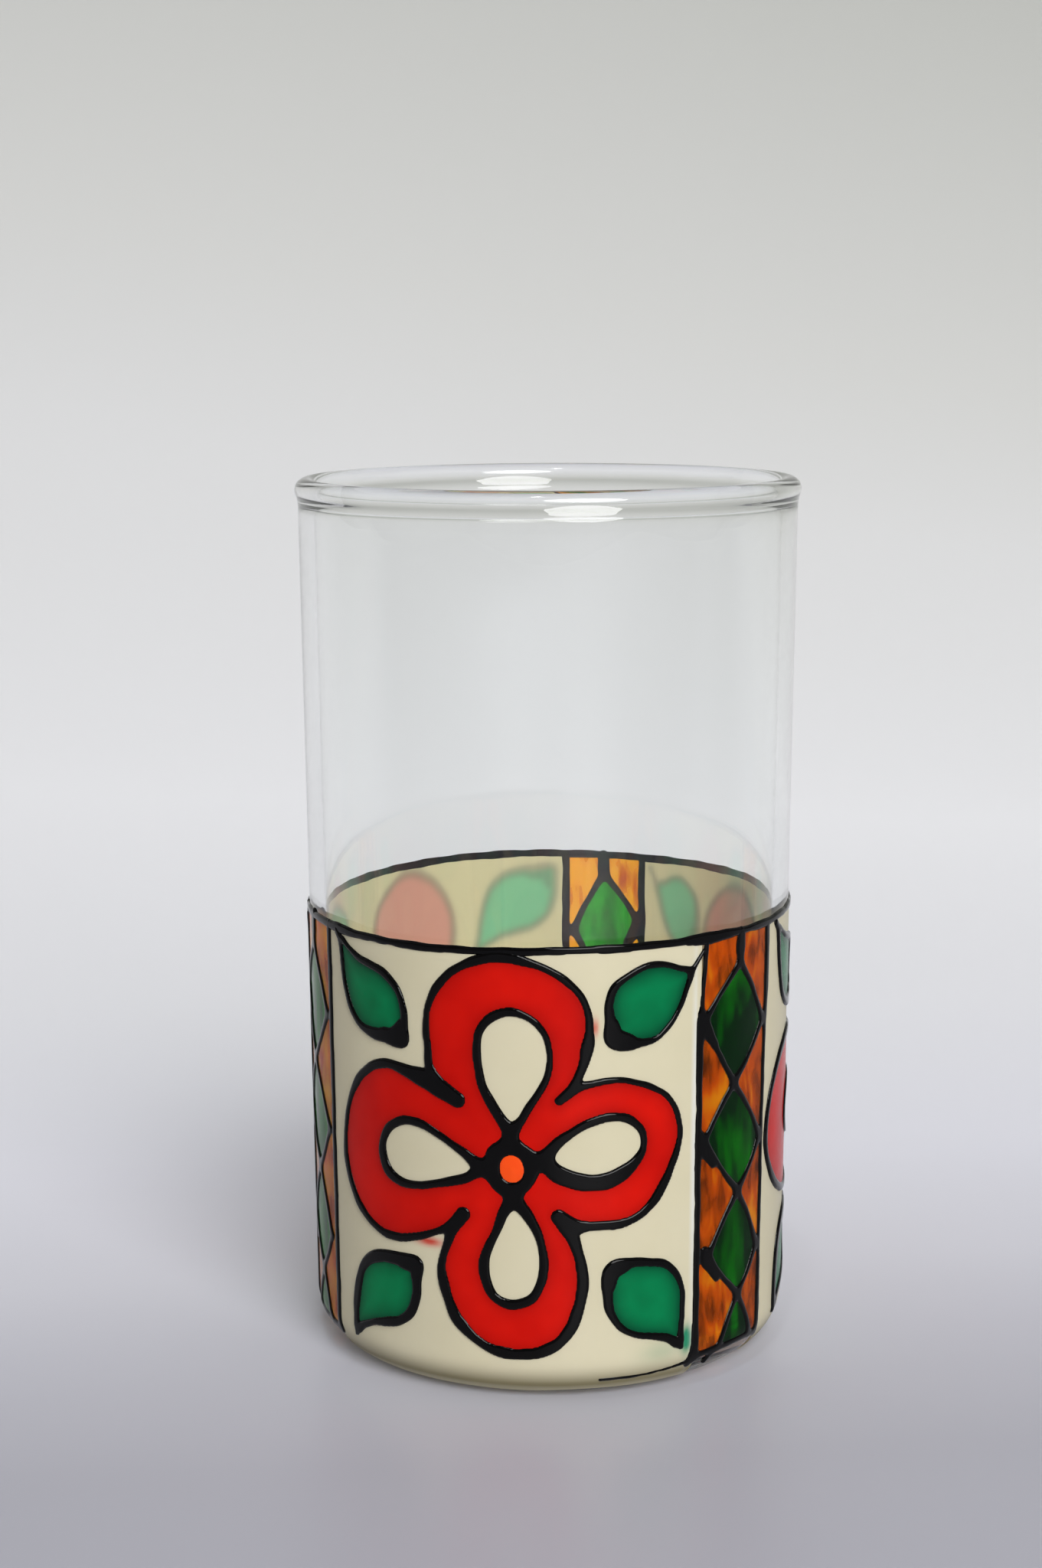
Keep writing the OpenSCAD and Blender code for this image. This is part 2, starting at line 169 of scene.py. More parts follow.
def new_tree(name, kinds):
    """A node tree that makes a shape, with its inputs, and what they give."""
    tree = bpy.data.node_groups.new(name, "GeometryNodeTree")
    for socket, kind in kinds.items():
        tree.interface.new_socket(socket, in_out="INPUT", socket_type="NodeSocket" + kind)
    tree.interface.new_socket("Geometry", in_out="OUTPUT", socket_type="NodeSocketGeometry")
    return tree, add(tree, "NodeGroupInput", out=None).outputs


def end_tree(tree, shape, near, material):
    """Ends such a tree: points as near as this are joined, and the shape gets its material."""
    shape = add(tree, "GeometryNodeMergeByDistance", {"Geometry": shape, "Distance": near})
    shape = add(tree, "GeometryNodeRealizeInstances", {0: shape})
    shape = add(tree, "GeometryNodeSetMaterial", {"Geometry": shape, "Material": material})
    add(tree, "NodeGroupOutput", {0: shape}, out=None)


# The wall is turned by a node tree: each point of the outline is carried round the axis.
turned, given = new_tree("outline turned round the axis", {
    "Outline": "Geometry", "Segments": "Int", "Material": "Material"})
count = add(turned, "GeometryNodeAttributeDomainSize", {0: given["Outline"]}, out="Point Count")
rows = add(turned, "Math", {0: given["Segments"], 1: 1}, operation="ADD")
grid = add(turned, "GeometryNodeMeshGrid", {"Vertices X": rows, "Vertices Y": count}, out="Mesh")
index = add(turned, "GeometryNodeInputIndex")
row = add(turned, "Math", {0: index, 1: count}, operation="DIVIDE")
row = add(turned, "Math", {0: row}, operation="FLOOR")
step = add(turned, "Math", {0: index, 1: count}, operation="MODULO")
angle = add(turned, "Math", {0: row, 1: given["Segments"]}, operation="DIVIDE")
angle = add(turned, "Math", {0: angle, 1: 2 * math.pi}, operation="MULTIPLY")
position = add(turned, "GeometryNodeInputPosition")
point = add(turned, "GeometryNodeSampleIndex", {
    "Geometry": given["Outline"], "Index": step, "Value": position}, data_type="FLOAT_VECTOR")
point = add(turned, "VectorRotate", {"Vector": point, "Angle": angle}, rotation_type="Z_AXIS")
made = add(turned, "GeometryNodeSetPosition", {"Geometry": grid, "Position": point})
end_tree(turned, made, 0.002 * mm, given["Material"])


def make(name, mesh, tree, **inputs):
    """A piece from a mesh and a node tree with the given inputs, as a plain mesh that rides on the glass."""
    piece = bpy.data.objects.new(name, mesh)
    scene.collection.objects.link(piece)
    modifier = piece.modifiers.new("made", "NODES")
    modifier.node_group = tree
    for socket in tree.interface.items_tree:
        if socket.name in inputs:
            modifier[socket.identifier] = inputs[socket.name]
    view = bpy.context.evaluated_depsgraph_get()
    done = piece.evaluated_get(view)
    plain = bpy.data.meshes.new_from_object(done, preserve_all_data_layers=True, depsgraph=view)
    piece.modifiers.clear()
    piece.data = plain
    plain.shade_smooth()
    plain.set_sharp_from_angle(angle=math.radians(65))
    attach(piece, "root")
    return piece


outline = bpy.data.meshes.new("glass outline")
outline.from_pydata([(r * mm, 0, z * mm) for r, z in glass_profile()], [], [])
glass_body = make("tumbler", outline, turned, Segments=288, Material=clear_glass)
shell = bmesh.new()
shell.from_mesh(glass_body.data)
bmesh.ops.recalc_face_normals(shell, faces=shell.faces)
shell.to_mesh(glass_body.data)
shell.free()
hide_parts("glass_body")

# Border line. One bead of black outliner paste, squeezed from a tube along the top of the painted part, once round
# the glass. It is laid on the bare glass and dries to a glossy, slightly uneven ridge.
sheet_l = 206.8  # the drawing's length: it goes once round the glass
line_h = 0.33
gap = 0.006  # a breath of air under each coat, so that no two faces share a place
cell = 0.18  # how closely the lines' edges are worked out
tremors = ((0.6, 13), (0.45, 6.5), (0.25, 3.1))  # the shaking of the hand: shares, and lengths along the line


def hand_line(points, half_w, seed, closed=False, shake=0.06, swell=0.08):
    """A line drawn by hand, as rows of u, v and half width: a smooth curve through the points, a little shaky and
    uneven. The points hold their own half widths where half_w is None."""
    p = np.array(points, float)
    if half_w is not None:
        known, wanted = np.linspace(0, 1, np.size(half_w)), np.linspace(0, 1, len(p))
        p = np.column_stack([p, np.interp(wanted, known, np.atleast_1d(half_w))])
    ends = (p[-1], p[0], p[1]) if closed else (2 * p[0] - p[1], 2 * p[-1] - p[-2])
    p = np.vstack([ends[0], p, *ends[1:]])
    t = np.linspace(0, 1, 14, endpoint=False)[:, None]
    curve = []
    for a, b, c, d in zip(p, p[1:], p[2:], p[3:]):
        bent, eased = 2 * a - 5 * b + 4 * c - d, 3 * b - a - 3 * c + d
        curve.append(0.5 * (2 * b + (c - a) * t + bent * t**2 + eased * t**3))
    curve = np.vstack(curve + [p[-2]])
    run = np.concatenate([[0], np.cumsum(np.hypot(*np.diff(curve[:, :2], axis=0).T))])
    s = np.linspace(0, run[-1], max(4, int(run[-1] / 0.4)))
    curve = np.column_stack([np.interp(s, run, column) for column in curve.T])
    chance = np.random.default_rng(seed)
    waves = [sum(a * np.sin(2 * math.pi * max(1, round(run[-1] / w)) * s / run[-1] + chance.uniform(0, 6.3))
                 for a, w in tremors) for _ in range(2)]
    way = np.gradient(curve[:, :2], axis=0)
    side = np.column_stack([-way[:, 1], way[:, 0]]) / np.maximum(np.hypot(*way.T), 1e-9)[:, None]
    curve[:, :2] += side * (shake * waves[0])[:, None]
    curve[:, 2] *= 1 + swell * waves[1]
    return curve


def distance(us, vs, line, reach):
    """How far each point of the sheet lies outside a line's edge, up to reach. It is below zero on the line."""
    near = np.full((len(vs), len(us)), float(reach))
    for p, q in zip(line[:-1], line[1:]):
        pad = reach + max(p[2], q[2])
        i = slice(*np.searchsorted(us, (min(p[0], q[0]) - pad, max(p[0], q[0]) + pad)))
        j = slice(*np.searchsorted(vs, (min(p[1], q[1]) - pad, max(p[1], q[1]) + pad)))
        du, dv, way = us[None, i] - p[0], vs[j, None] - p[1], q[:2] - p[:2]
        t = np.clip((du * way[0] + dv * way[1]) / max(way @ way, 1e-9), 0, 1)
        apart = np.hypot(du - t * way[0], dv - t * way[1]) - p[2] - t * (q[2] - p[2])
        near[j, i] = np.minimum(near[j, i], apart)
    return near


def flowed(us, vs, lines, blend=0.22, reach=2.5):
    """The same for several lines that flow into each other where they meet."""
    return -blend * np.log(sum(np.exp(-distance(us, vs, line, reach) / blend) for line in lines))


def film_mesh(us, vs, field, height, bed, over=(), under=()):
    """A closed film where field is below zero, with its top at height, its underside at bed and upright sides.
    Over and under are further values of the points on top and underneath, which the material can read."""
    inside = field < 0
    number = np.full(field.shape, -1)
    number[inside] = np.arange(inside.sum())
    rows, columns = np.nonzero(inside)
    top, spots = [np.column_stack([us[columns], vs[rows], height[inside]])], [(rows, columns)]
    total, crossing = len(rows), []
    for du, dv in ((1, 0), (0, 1)):
        a, b = field[: len(vs) - dv, : len(us) - du], field[dv:, du:]
        cut = (a < 0) != (b < 0)
        j, i = np.nonzero(cut)
        t = np.clip(a[cut] / (a[cut] - b[cut]), 0.03, 0.97)
        rise = height[j, i] * (1 - t) + height[j + dv, i + du] * t
        top.append(np.column_stack([us[i] + du * t * (us[1] - us[0]), vs[j] + dv * t * (vs[1] - vs[0]), rise]))
        spots.append((j, i))
        crossing.append(np.full(cut.shape, -1))
        crossing[-1][cut] = total + np.arange(len(t))
        total += len(t)
    across, upward = crossing
    corners = [inside[:-1, :-1], inside[:-1, 1:], inside[1:, 1:], inside[1:, :-1]]
    full = np.logical_and.reduce(corners)
    j, i = np.nonzero(full)
    faces = np.column_stack([number[j, i], number[j, i + 1], number[j + 1, i + 1], number[j + 1, i]]).tolist()
    sides = []
    for j, i in zip(*np.nonzero(np.logical_or.reduce(corners) & ~full)):
        ring = (number[j, i], across[j, i], number[j, i + 1], upward[j, i + 1],
                number[j + 1, i + 1], across[j + 1, i], number[j + 1, i], upward[j, i])
        ring = [k for k in ring if k >= 0]
        faces.append(ring)
        edges = zip(ring, ring[1:] + ring[:1])
        sides += [(q, p, p + total, q + total) for p, q in edges if min(p, q) >= len(rows)]
    top = np.vstack(top)
    mesh = bpy.data.meshes.new("film")
    mesh.from_pydata((np.vstack([top, top * (1, 1, 0) + (0, 0, bed)]) * mm).tolist(), [],
                     faces + sides + [[k + total for k in reversed(face)] for face in faces])
    for marks, first in ((dict(over), True), (dict(under), False)):
        for mark, values in marks.items():
            seen = np.concatenate([values[spot] for spot in spots])
            both = np.concatenate((seen, 0 * seen) if first else (0 * seen, seen)).astype(np.float32)
            mesh.attributes.new(mark, "FLOAT", "POINT").data.foreach_set("value", both)
    return mesh


def bead(field, half_w=0.34, height=line_h):
    """The height of a bead of paste: round at its edges, and flat where it is wider."""
    deep = np.clip(-field / half_w, 0, 1)
    return height * np.sqrt(1 - (1 - deep) ** 2)


# The drawing is wrapped on the glass by a node tree: across the sheet becomes round the glass, up stays up, and
# a height off the sheet stands off the wall, or off the rounded corner near the foot.
wrapped, given = new_tree("drawing wrapped on the glass", {
    "Drawing": "Geometry", "Sheet length": "Float", "Slope": "Float", "Corner radius": "Float", "Corner place": "Float",
    "Wall starts": "Float", "Material": "Material"})
flat = add(wrapped, "GeometryNodeInputPosition")
u, v, h = add(wrapped, "SeparateXYZ", {0: flat}, out=None).outputs
turn = add(wrapped, "Math", {0: u, 1: given["Sheet length"]}, operation="DIVIDE")
turn = add(wrapped, "Math", {0: turn, 1: 2 * math.pi, 2: -math.pi / 2}, operation="MULTIPLY_ADD")
lean = add(wrapped, "Math", {0: given["Slope"]}, operation="ARCTANGENT")
sunk = add(wrapped, "Math", {0: given["Corner radius"], 1: v}, operation="SUBTRACT")
sunk = add(wrapped, "Math", {0: sunk, 1: given["Corner radius"]}, operation="DIVIDE")
sunk = add(wrapped, "Math", {0: sunk, 1: 1.0}, operation="MINIMUM")
facing = add(wrapped, "Math", {0: sunk}, operation="ARCSINE")
facing = add(wrapped, "Math", {0: facing, 1: lean}, operation="MAXIMUM")
out = add(wrapped, "Math", {0: facing}, operation="COSINE")
down = add(wrapped, "Math", {0: facing}, operation="SINE")
climb = add(wrapped, "Math", {0: v, 1: given["Wall starts"]}, operation="SUBTRACT")
climb = add(wrapped, "Math", {0: climb, 1: 0.0}, operation="MAXIMUM")
reach = add(wrapped, "Math", {0: out, 1: given["Corner radius"], 2: given["Corner place"]}, operation="MULTIPLY_ADD")
reach = add(wrapped, "Math", {0: climb, 1: given["Slope"], 2: reach}, operation="MULTIPLY_ADD")
reach = add(wrapped, "Math", {0: h, 1: out, 2: reach}, operation="MULTIPLY_ADD")
drop = add(wrapped, "Math", {0: h, 1: down}, operation="MULTIPLY")
level = add(wrapped, "Math", {0: v, 1: drop}, operation="SUBTRACT")
spot = add(wrapped, "CombineXYZ", {0: reach, 2: level})
spot = add(wrapped, "VectorRotate", {"Vector": spot, "Angle": turn}, rotation_type="Z_AXIS")
made = add(wrapped, "GeometryNodeStoreNamedAttribute", {
    "Geometry": given["Drawing"], "Name": "flat", "Value": flat}, data_type="FLOAT_VECTOR", domain="POINT")
made = add(wrapped, "GeometryNodeSetPosition", {"Geometry": made, "Position": spot})
end_tree(wrapped, made, 0.0005 * mm, given["Material"])


def paint_on(name, mesh, material, node):
    """A film of paint on the glass that stands for a CAD node."""
    piece = make(name, mesh, wrapped, **{
        "Sheet length": sheet_l * mm, "Slope": slope, "Corner radius": corner_r * mm, "Corner place": corner_x * mm,
        "Wall starts": corner_r * (1 - math.sin(tilt)) * mm, "Material": material})
    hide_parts(node)


# Black outliner paste: acrylic relief paint, dried to a gloss with a faint drag in it, in ripples about 1.5 mm long.
black_paste, tree = new_material("black outliner paste")
place = add(tree, "TexCoord", out="Object")
drag = add(tree, "TexNoise", {"Vector": place, "Scale": 1 / (1.5 * mm), "Detail": 2.0}, out="Fac")
bump = add(tree, "Bump", {"Height": drag, "Strength": 0.25, "Distance": 0.05 * mm})
shine = add(tree, "MapRange", {"Value": drag, "To Min": 0.03, "To Max": 0.12})
tone = add(tree, "Mix", {"Factor": drag, 6: linear("030303"), 7: linear("070606")}, data_type="RGBA", out=2)
paste = add(tree, "BsdfPrincipled", {
    "Base Color": tone, "Roughness": shine, "Specular IOR Level": 0.16, "Normal": bump})
add(tree, "OutputMaterial", {"Surface": paste}, out=None)

# The line sways a little on its way round, and is heavy at two places where the tube was set down.
border_v = 61.42
us, vs = np.linspace(-sheet_l / 2, sheet_l / 2, 1150), np.arange(59, 64, cell)
way = np.linspace(-sheet_l / 2, sheet_l / 2, 90)
lift = 0.28 * np.sin(2 * math.pi * (way - 8) / sheet_l) + 0.12 * np.sin(2 * math.pi * 4 * way / sheet_l + 0.6)
heavy = 0.54 + 0.28 * np.exp(-(((way - 23) / 3.5) ** 2)) + 0.2 * np.exp(-(((way + 34) / 3) ** 2))
ring = hand_line(np.column_stack([way, border_v + lift, heavy]), None, 3, shake=0.05, swell=0.12)
ring[-1, 1:] = ring[0, 1:]
ring = np.vstack([ring[-9:-1] - (sheet_l, 0, 0), ring, ring[1:9] + (sheet_l, 0, 0)])
field = distance(us, vs, ring, 2.5)
field[:, -1] = field[:, 0]
paint_on("border_bead", film_mesh(us, vs, field, bead(field), gap), black_paste, "border_line")

# Flowers. A four-petalled flower on each panel: black outlines first, then red flooded into the petals up to the lines,
# with an eye left open in each petal and a drop of orange in the middle.
panels = {"front": (-35.2, 20.9), "right": (36.0, 87.8), "left": (101.2, 157.0)}  # where each starts and ends
flower_u, flower_v = {"front": -5.0, "right": 68.6, "left": 127.6}, 32.2
ground_h = 0.1  # the cream under the drawing
line_bed = 0.04  # the lines are pressed into the cream
flood_h, flood_rise = 0.08, 0.04
# The petals of the front flower, as places from its middle and the line's half widths, in millimetres
petals = {
    "up": [(-7.1, 9.0, 0.9), (-9.6, 10.8, 0.8), (-11.0, 13.0, 0.7), (-11.2, 15.5, 0.6), (-11.5, 18.1, 0.55),
           (-11.2, 20.8, 0.5), (-10.2, 23.3, 0.55), (-8.5, 25.3, 0.6), (-6.3, 26.9, 0.6), (-3.4, 28.1, 0.75),
           (-0.5, 28.4, 0.75), (2.0, 27.9, 0.6), (3.9, 27.2, 0.5), (6.3, 25.9, 0.55), (8.5, 24.0, 0.5),
           (9.8, 21.6, 0.5), (10.2, 18.8, 0.55), (9.8, 16.2, 0.9), (9.1, 13.6, 0.65), (8.0, 11.2, 0.7),
           (6.3, 9.5, 0.55)],
    "left": [(-7.1, 9.0, 1.0), (-9.4, 10.1, 1.25), (-11.8, 11.2, 1.25), (-14.4, 11.9, 0.95), (-17.3, 12.4, 0.7),
             (-20.0, 11.9, 0.7), (-22.3, 10.4, 0.65), (-24.2, 8.4, 0.6), (-25.6, 6.1, 0.5), (-26.5, 3.5, 0.5),
             (-27.0, 0.9, 0.5), (-27.0, -1.7, 0.55), (-26.4, -4.3, 0.55), (-25.2, -6.7, 0.6), (-23.5, -8.8, 0.65),
             (-21.3, -10.3, 0.6), (-18.7, -11.1, 0.6), (-16.0, -11.1, 0.6), (-13.3, -10.4, 0.55), (-10.7, -9.5, 0.5),
             (-8.4, -8.3, 0.7), (-6.5, -6.4, 0.85)],
    "down": [(-6.5, -6.4, 0.85), (-7.8, -8.3, 0.8), (-8.8, -10.8, 0.6), (-9.6, -13.4, 0.65), (-9.5, -15.9, 0.8),
             (-8.8, -18.4, 0.75), (-7.6, -20.8, 0.85), (-5.8, -22.7, 0.75), (-3.7, -24.1, 0.7), (-1.2, -25.0, 0.8),
             (1.4, -25.1, 0.75), (4.0, -24.6, 0.8), (6.2, -23.4, 0.85), (7.8, -21.3, 0.9), (8.8, -18.8, 0.8),
             (9.3, -16.2, 0.8), (9.2, -13.5, 0.75), (8.6, -10.9, 0.8), (7.6, -8.3, 1.0), (6.2, -6.2, 0.9)],
    "right": [(6.2, -6.2, 0.9), (8.0, -7.5, 1.15), (10.0, -7.6, 0.8), (11.8, -7.6, 0.65), (13.7, -7.6, 0.65),
              (16.4, -6.9, 0.6), (18.6, -5.4, 0.65), (20.2, -3.2, 0.8), (21.4, -1.0, 0.65), (22.3, 1.3, 0.55),
              (22.8, 3.9, 0.45), (22.3, 6.6, 0.42), (20.9, 8.9, 0.42), (18.7, 10.5, 0.45), (16.2, 11.4, 0.42),
              (13.6, 11.9, 0.42), (10.9, 11.6, 0.45), (8.7, 11.0, 0.55), (6.3, 9.5, 0.5)],
}
# The eyes, each from its tip round to it
eyes = {
    "up": [(0.0, 5.4, 0.8), (1.2, 6.5, 0.6), (2.5, 8.7, 0.55), (3.9, 10.9, 0.5), (4.9, 13.3, 0.42), (5.1, 15.9, 0.42),
           (4.4, 18.4, 0.45), (2.7, 20.3, 0.47), (0.3, 21.2, 0.6), (-2.2, 20.5, 0.6), (-4.0, 18.6, 0.57),
           (-4.4, 16.1, 0.6), (-4.2, 13.6, 0.57), (-3.7, 11.2, 0.62), (-2.5, 8.9, 0.65), (-1.2, 6.7, 0.7)],
    "left": [(-4.3, 0.1, 0.8), (-5.6, 1.5, 0.75), (-7.5, 2.7, 0.57), (-9.8, 4.0, 0.55), (-12.3, 5.0, 0.57),
             (-15.0, 5.2, 0.65), (-17.5, 4.0, 0.65), (-18.9, 1.9, 0.6), (-19.0, -0.4, 0.7), (-17.8, -2.5, 0.7),
             (-15.4, -3.5, 0.65), (-12.9, -3.4, 0.55), (-10.4, -2.8, 0.57), (-7.9, -2.1, 0.65), (-5.6, -1.2, 0.62)],
    "down": [(0.4, -4.2, 0.8), (-1.0, -5.7, 0.75), (-1.9, -8.1, 0.6), (-2.9, -10.3, 0.65), (-3.7, -12.7, 0.7),
             (-3.5, -15.2, 0.67), (-2.3, -17.4, 0.67), (0.0, -18.3, 0.7), (2.5, -17.5, 0.65), (3.8, -15.4, 0.6),
             (4.3, -12.9, 0.62), (4.0, -10.3, 0.6), (3.2, -7.9, 0.65), (1.9, -5.6, 0.75)],
    "right": [(4.6, 1.7, 0.85), (5.7, -0.1, 1.15), (8.0, -1.25, 1.2), (10.5, -1.75, 1.2), (13.0, -1.5, 1.1),
              (15.1, -0.4, 0.9), (16.6, 1.0, 0.7), (17.5, 2.7, 0.5), (17.2, 4.9, 0.5), (15.3, 6.6, 0.6),
              (12.9, 7.0, 0.57), (10.3, 6.4, 0.65), (8.0, 5.2, 0.67), (5.8, 3.6, 0.75)],
}
# Where paste ran together between the eyes, as places from the middle and half widths
webs = [(-1.9, 2.1, 1.15), (1.7, 2.0, 1.05)]
# How much longer and wider each petal of the other two flowers is
spread = {
    "front": {"up": (1, 1), "left": (1, 1), "down": (1, 1), "right": (1, 1)},
    "right": {"up": (0.97, 0.75), "left": (1.21, 0.95), "down": (0.95, 0.85), "right": (0.8, 0.95)},
    "left": {"up": (0.98, 0.75), "left": (0.87, 0.94), "down": (0.98, 0.97), "right": (1.14, 1.02)},
}
short_eye = 0.8  # the upper eyes there are shorter
# The middle: how far out its black ring and its orange drop reach, across and up
ring_r, drop_r = (2.5, 2.85), (1.75, 2.1)


def stretched(points, petal, panel, eye=1):
    """Points of a petal of the front flower, or of an eye so much shorter, as they are on another panel."""
    long, wide = spread[panel][petal]
    long *= eye
    along_u, along_v = (wide, long) if petal in ("up", "down") else (long, wide)
    return [(flower_u[panel] + x * along_u, flower_v + y * along_v, half_w) for x, y, half_w in points]


def within(us, vs, outline, reach):
    """How far each point of the sheet lies outside a closed outline, up to reach. It is below zero inside."""
    p, q = np.array(outline), np.roll(outline, -1, 0)
    near = distance(us, vs, np.column_stack([np.vstack([p, p[:1]]), np.zeros(len(p) + 1)]), reach)
    for j, v in enumerate(vs):
        hit = np.nonzero((p[:, 1] <= v) != (q[:, 1] <= v))[0]
        cross = p[hit, 0] + (v - p[hit, 1]) * (q[hit, 0] - p[hit, 0]) / (q[hit, 1] - p[hit, 1])
        near[j] *= np.where(np.searchsorted(np.sort(cross), us) % 2 == 1, -1, 1)
    return near


def places(u0, u1, v0, apart, v1=63):
    """The places across and up the sheet at which a drawing is worked out."""
    return np.arange(u0, u1, apart), np.arange(v0, v1, apart)


def panel_places(panel, apart):
    """The same for a panel, with a little room round it."""
    u0, u1 = panels[panel]
    return places(u0 - 1.5, u1 + 1.5, 0.5, apart)


def pooled(depth, fall):
    """How much paint has pooled, from 1 at a line to nothing, at a depth inside the colour."""
    return np.clip(np.exp(-np.maximum(depth, 0) / fall), 0, 1)


def draw(name, places, field, node):
    """Black lines on a panel's cream, where field is below zero."""
    paint_on(name, film_mesh(*places, field, ground_h + bead(field), line_bed), black_paste, node)


def flood(name, places, field, pool, deepens, paint, node):
    """A colour flooded in between a panel's lines. Where it has pooled it stands a little higher and is deeper."""
    level = ground_h + flood_h + flood_rise * pool
    paint_on(name, film_mesh(*places, field, level, ground_h + gap, {"pool": deepens * pool}), paint, node)


def flooded_paint(name, grain, thin, thick, deep):
    """Glass paint that was flooded up to the lines: a gloss over a strong colour, which varies over so many millimetres
    and is deeper where the paint has pooled. A quarter of the light comes through."""
    paint, tree = new_material(name)
    place = add(tree, "TexCoord", out="Object")
    stroke = add(tree, "TexNoise", {"Vector": place, "Scale": 1 / (grain * mm), "Detail": 2.0}, out="Fac")
    tone = add(tree, "Mix", {"Factor": stroke, 6: linear(thin), 7: linear(thick)}, data_type="RGBA", out=2)
    pool = add(tree, "Attribute", attribute_name="pool", out="Fac")
    tone = add(tree, "Mix", {"Factor": pool, 6: tone, 7: linear(deep)}, data_type="RGBA", out=2)
    bump = add(tree, "Bump", {"Height": stroke, "Strength": 0.2, "Distance": 0.05 * mm})
    gloss = add(tree, "BsdfPrincipled", {
        "Base Color": tone, "Roughness": 0.18, "Specular IOR Level": 0.12, "Normal": bump})
    through = add(tree, "BsdfTranslucent", {"Color": tone})
    coat = add(tree, "MixShader", {0: 0.25, 1: gloss, 2: through})
    add(tree, "OutputMaterial", {"Surface": coat}, out=None)
    return paint


# Red glass paint: a clear gloss over a strong signal red, a little deeper where it lies thick against the lines.
red_paint = flooded_paint("red glass paint, gloss", 7, "CC0A04", "F41C0C", "A20A05")

# Orange glass paint: one glossy drop that stands up in the middle, clouded over about 2 mm.
orange_paint, tree = new_material("orange glass paint, gloss")
place = add(tree, "TexCoord", out="Object")
cloud = add(tree, "TexNoise", {"Vector": place, "Scale": 1 / (2 * mm), "Detail": 1.0}, out="Fac")
tone = add(tree, "Mix", {"Factor": cloud, 6: linear("F24408"), 7: linear("FF5A14")}, data_type="RGBA", out=2)
orange = add(tree, "BsdfPrincipled", {"Base Color": tone, "Roughness": 0.2, "Specular IOR Level": 0.25})
add(tree, "OutputMaterial", {"Surface": orange}, out=None)

reds, line_fields = {}, {}
for n, panel in enumerate(panels):
    mu, mv = flower_u[panel], flower_v
    fine, rough = panel_places(panel, cell), panel_places(panel, 2 * cell)
    paths = {k: hand_line(stretched(p, k, panel), None, 10 * n + i) for i, (k, p) in enumerate(petals.items())}
    petal_lines = flowed(*fine, paths.values())
    draw(f"flower_outline_{panel}", fine, petal_lines, f"flower_line_{panel}")

    rims = {}
    for i, (k, p) in enumerate(eyes.items()):
        rim = stretched(p, k, panel, short_eye if k == "up" and panel != "front" else 1)
        rims[k] = hand_line(rim, None, 30 + 10 * n + i, closed=True, shake=0.04)
    heart = [hand_line([(mu, mv) + 0.5 * (rim[0, :2] - (mu, mv)), rim[0, :2]], [1.25, 0.85], 40 + 10 * n + i)
             for i, rim in enumerate(rims.values())]
    heart += [hand_line([(mu + x, mv + y), (mu + 0.6 * x, mv + 0.6 * y)], w, 44 + 10 * n + i)
              for i, (x, y, w) in enumerate(webs)]
    turn = np.linspace(0, 2 * math.pi, 16, endpoint=False)
    black_ring = np.column_stack([mu + ring_r[0] * np.cos(turn), mv + 0.2 + ring_r[1] * np.sin(turn)])
    heart.append(hand_line(black_ring, 0.95, 50 + n, closed=True))
    drop = np.column_stack([mu + 0.07 + drop_r[0] * np.cos(turn), mv + 0.24 + drop_r[1] * np.sin(turn)])
    hole = within(*fine, hand_line(drop, 0.1, 55 + n, closed=True, shake=0.1)[:-1, :2], 2.5)
    eye_lines = np.maximum(flowed(*fine, [*rims.values(), *heart], 0.4), -hole - 0.25)
    draw(f"eye_outlines_{panel}", fine, eye_lines, f"eye_lines_{panel}")
    crown = 0.06 + 0.24 * np.sqrt(np.clip(-hole / 2, 0, 1))
    paint_on(f"orange_drop_{panel}", film_mesh(*fine, hole, ground_h + crown, ground_h + gap),
             orange_paint, f"flower_middle_{panel}")

    edge = np.vstack([paths["up"][::-1, :2], paths["left"][:, :2], paths["down"][:, :2], paths["right"][:, :2]])
    whole = within(*rough, edge, 3)
    inner = np.minimum.reduce([within(*rough, rim[:-1, :2], 3) for rim in rims.values()])
    reds[panel] = np.maximum(whole, -inner)
    pool = pooled(np.minimum(np.abs(whole), np.abs(inner)) - 0.55, 0.8)
    flood(f"red_petals_{panel}", rough, reds[panel], pool, 0.55, red_paint, f"flower_red_{panel}")
    line_fields[panel] = np.minimum(petal_lines, eye_lines)[::2, ::2]

